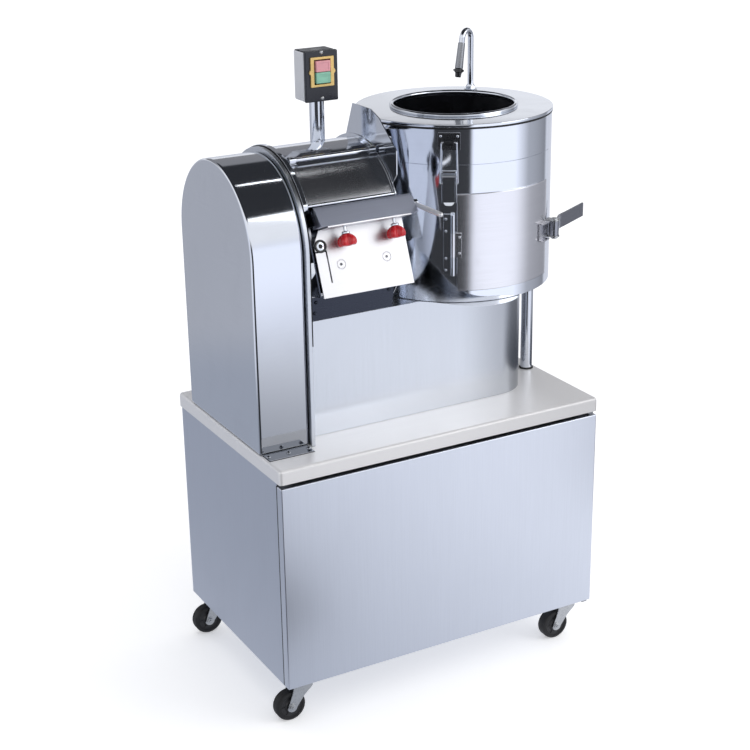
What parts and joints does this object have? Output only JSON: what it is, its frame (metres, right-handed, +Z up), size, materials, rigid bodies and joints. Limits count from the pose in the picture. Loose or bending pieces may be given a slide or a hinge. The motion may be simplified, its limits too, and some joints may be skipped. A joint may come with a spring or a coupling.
{
  "type": "potato peeling and slicing machine",
  "caption": "Wheeled steel cabinet carrying an abrasive peeling drum with a side discharge door and a belt-driven slicing head with a feed hopper and switch post",
  "frame": {"origin": "on the floor under the middle of the whole machine's footprint", "axes": "+X to the drum's side, +Y to the back, away from the cabinet door, +Z up"},
  "size_m": [0.8755, 0.559, 1.2556],
  "materials": {
    "satin_steel": "satin stainless steel, bluish grey, faint vertical grain",
    "mirror_steel": "bright polished stainless steel",
    "frame_steel": "plain machined and mill-finish steel",
    "zinc_plate": "zinc-plated pressed steel",
    "cast_aluminium": "cast aluminium",
    "cast_iron_housing": "painted cast iron bearing housing",
    "motor_paint": "dark blue enamel on cast metal",
    "black_rubber": "matt black rubber",
    "caster_rubber": "hard black rubber tread on a moulded wheel",
    "black_abrasive": "coarse black grit bonded in resin",
    "red_plastic": "glossy red moulded plastic",
    "dark_grey_plastic": "textured dark grey plastic",
    "yellow_plastic": "pale yellow moulded plastic",
    "stop_button_red": "soft red plastic",
    "start_button_green": "soft green plastic"
  },
  "bodies": {
    "machine": {"worktop": "satin_steel", "cabinet_shell": "satin_steel", "cabinet_frame": "frame_steel", "belt_guard": "mirror_steel", "head_carrier": "satin_steel", "cutter_bearing": "cast_iron_housing", "cutter_motor": "motor_paint", "cutter_belt": "black_rubber", "cutter_casing": "mirror_steel", "cover_hinge": "mirror_steel", "hood": "satin_steel", "front_plate": "mirror_steel", "cutter_blade": "satin_steel", "pivot_screw": "black_rubber", "feed_hopper": "mirror_steel", "skirt": "mirror_steel", "shelf_plate": "satin_steel", "drum_barrel": "mirror_steel", "abrasive_liner": "black_abrasive", "drum_cap": "mirror_steel", "bearing_column": "cast_iron_housing", "peeler_gearmotor": "motor_paint", "drain_pipe": "mirror_steel", "discharge_hinge": "zinc_plate", "lever_bracket": "zinc_plate", "spout_base": "mirror_steel", "switch_post": "mirror_steel", "switch_box": "dark_grey_plastic", "switch_bezel": "yellow_plastic", "cable_gland": "dark_grey_plastic"},
    "cabinet_door": {"cabinet_door": "satin_steel"},
    "caster_fork_front_left": {"caster_fork_front_left": "zinc_plate"},
    "caster_wheel_front_left": {"caster_wheel_front_left": "caster_rubber"},
    "caster_fork_front_right": {"caster_fork_front_right": "zinc_plate"},
    "caster_wheel_front_right": {"caster_wheel_front_right": "caster_rubber"},
    "caster_fork_rear_left": {"caster_fork_rear_left": "zinc_plate"},
    "caster_wheel_rear_left": {"caster_wheel_rear_left": "caster_rubber"},
    "caster_fork_rear_right": {"caster_fork_rear_right": "zinc_plate"},
    "caster_wheel_rear_right": {"caster_wheel_rear_right": "caster_rubber"},
    "cutter_rotor": {"cutter_rotor": "satin_steel", "cutter_shaft": "frame_steel", "cutter_pulley": "cast_aluminium"},
    "cutter_motor_pulley": {"cutter_motor_pulley": "cast_aluminium"},
    "peeler_disc": {"peeler_disc": "black_abrasive", "peeler_shaft": "frame_steel"},
    "cutter_cover": {"cutter_cover": "mirror_steel"},
    "lock_lever": {"lock_lever": "mirror_steel"},
    "star_knob_left": {"star_knob_left": "red_plastic"},
    "star_knob_right": {"star_knob_right": "red_plastic"},
    "discharge_door": {"discharge_door": "mirror_steel"},
    "discharge_lever": {"discharge_lever": "mirror_steel"},
    "latch_lever_front": {"latch_lever_front": "zinc_plate"},
    "latch_bail_front": {"latch_bail_front": "zinc_plate"},
    "latch_lever_rear": {"latch_lever_rear": "zinc_plate"},
    "latch_bail_rear": {"latch_bail_rear": "zinc_plate"},
    "water_spout": {"water_spout": "mirror_steel"},
    "start_button": {"start_button": "start_button_green"},
    "stop_button": {"stop_button": "stop_button_red"}
  },
  "joints": [
    {"name": "cabinet_door_hinge", "type": "hinge", "parent": "machine", "child": "cabinet_door", "pos_m": [0.28335, -0.2585, 0.085], "axis": [0, 0, 1], "range_deg": [0, 105]},
    {"name": "caster_swivel_front_left", "type": "hinge", "parent": "machine", "child": "caster_fork_front_left", "pos_m": [-0.37965, -0.2295, 0.0315], "axis": [0, 0, 1], "continuous": true},
    {"name": "caster_wheel_spin_front_left", "type": "hinge", "parent": "caster_fork_front_left", "child": "caster_wheel_front_left", "pos_m": [-0.40565, -0.2295, 0.0315], "axis": [0, 1, 0], "continuous": true},
    {"name": "caster_swivel_front_right", "type": "hinge", "parent": "machine", "child": "caster_fork_front_right", "pos_m": [0.25035, -0.2295, 0.0315], "axis": [0, 0, 1], "continuous": true},
    {"name": "caster_wheel_spin_front_right", "type": "hinge", "parent": "caster_fork_front_right", "child": "caster_wheel_front_right", "pos_m": [0.22435, -0.2295, 0.0315], "axis": [0, 1, 0], "continuous": true},
    {"name": "caster_swivel_rear_left", "type": "hinge", "parent": "machine", "child": "caster_fork_rear_left", "pos_m": [-0.37965, 0.1705, 0.0315], "axis": [0, 0, 1], "continuous": true},
    {"name": "caster_wheel_spin_rear_left", "type": "hinge", "parent": "caster_fork_rear_left", "child": "caster_wheel_rear_left", "pos_m": [-0.40565, 0.1705, 0.0315], "axis": [0, 1, 0], "continuous": true},
    {"name": "caster_swivel_rear_right", "type": "hinge", "parent": "machine", "child": "caster_fork_rear_right", "pos_m": [0.25035, 0.1705, 0.0315], "axis": [0, 0, 1], "continuous": true},
    {"name": "caster_wheel_spin_rear_right", "type": "hinge", "parent": "caster_fork_rear_right", "child": "caster_wheel_rear_right", "pos_m": [0.22435, 0.1705, 0.0315], "axis": [0, 1, 0], "continuous": true},
    {"name": "cutter_spin", "type": "hinge", "parent": "machine", "child": "cutter_rotor", "pos_m": [-0.36465, -0.0215, 0.9196], "axis": [1, 0, 0], "continuous": true},
    {"name": "cutter_motor_spin", "type": "hinge", "parent": "machine", "child": "cutter_motor_pulley", "pos_m": [-0.36465, -0.0215, 0.2036], "axis": [1, 0, 0], "continuous": true},
    {"name": "peeler_disc_spin", "type": "hinge", "parent": "machine", "child": "peeler_disc", "pos_m": [0.16235, 0.0765, 0.7736], "axis": [0, 0, 1], "continuous": true},
    {"name": "cutter_cover_hinge", "type": "hinge", "parent": "machine", "child": "cutter_cover", "pos_m": [-0.21365, -0.0931, 1.07818], "axis": [-1, 0, 0], "range_deg": [0, 120]},
    {"name": "lock_lever_pivot", "type": "hinge", "parent": "machine", "child": "lock_lever", "pos_m": [-0.08365, -0.1795, 0.9871], "axis": [-1, 0, 0], "range_deg": [0, 75]},
    {"name": "star_knob_turn_left", "type": "hinge", "parent": "machine", "child": "star_knob_left", "pos_m": [-0.23865, -0.20136, 0.9443], "axis": [0, 0.3665, 0.9304], "continuous": true},
    {"name": "star_knob_turn_right", "type": "hinge", "parent": "machine", "child": "star_knob_right", "pos_m": [-0.13515, -0.20136, 0.9443], "axis": [0, 0.3665, 0.9304], "continuous": true},
    {"name": "discharge_door_hinge", "type": "hinge", "parent": "machine", "child": "discharge_door", "pos_m": [0.05151, -0.09951, 0.8026], "axis": [0, 0, -1], "range_deg": [0, 100]},
    {"name": "discharge_lever_pivot", "type": "hinge", "parent": "machine", "child": "discharge_lever", "pos_m": [0.29905, -0.09536, 0.8636], "axis": [0, 0, 1], "range_deg": [-70, 18]},
    {"name": "latch_lever_turn_front", "type": "hinge", "parent": "machine", "child": "latch_lever_front", "pos_m": [0.04468, -0.09599, 1.0046], "axis": [-0.8261, 0.5635, 0], "range_deg": [0, 100]},
    {"name": "latch_bail_turn_front", "type": "hinge", "parent": "latch_lever_front", "child": "latch_bail_front", "pos_m": [0.04496, -0.09558, 0.9906], "axis": [-0.8261, 0.5635, 0], "range_deg": [-90, 10]},
    {"name": "latch_lever_turn_rear", "type": "hinge", "parent": "machine", "child": "latch_lever_rear", "pos_m": [0.28001, 0.24899, 1.0046], "axis": [0.8261, -0.5635, 0], "range_deg": [0, 100]},
    {"name": "latch_bail_turn_rear", "type": "hinge", "parent": "latch_lever_rear", "child": "latch_bail_rear", "pos_m": [0.27973, 0.24858, 0.9906], "axis": [0.8261, -0.5635, 0], "range_deg": [-90, 10]},
    {"name": "water_spout_swivel", "type": "hinge", "parent": "machine", "child": "water_spout", "pos_m": [0.27335, 0.1875, 1.1053], "axis": [0, 0, 1], "range_deg": [-90, 90]},
    {"name": "start_button_press", "type": "slide", "parent": "machine", "child": "start_button", "axis": [0, 1, 0], "range_m": [0, 0.0035], "stiffness_N_per_m": 600},
    {"name": "stop_button_press", "type": "slide", "parent": "machine", "child": "stop_button", "axis": [0, 1, 0], "range_m": [0, 0.0035], "stiffness_N_per_m": 600}
  ],
  "couplings": [
    {"joint": "cutter_motor_spin", "follows": "cutter_spin", "ratio": 3.1818},
    {"joint": "latch_bail_turn_front", "follows": "latch_lever_turn_front", "ratio": -0.88},
    {"joint": "latch_bail_turn_rear", "follows": "latch_lever_turn_rear", "ratio": -0.88}
  ]
}
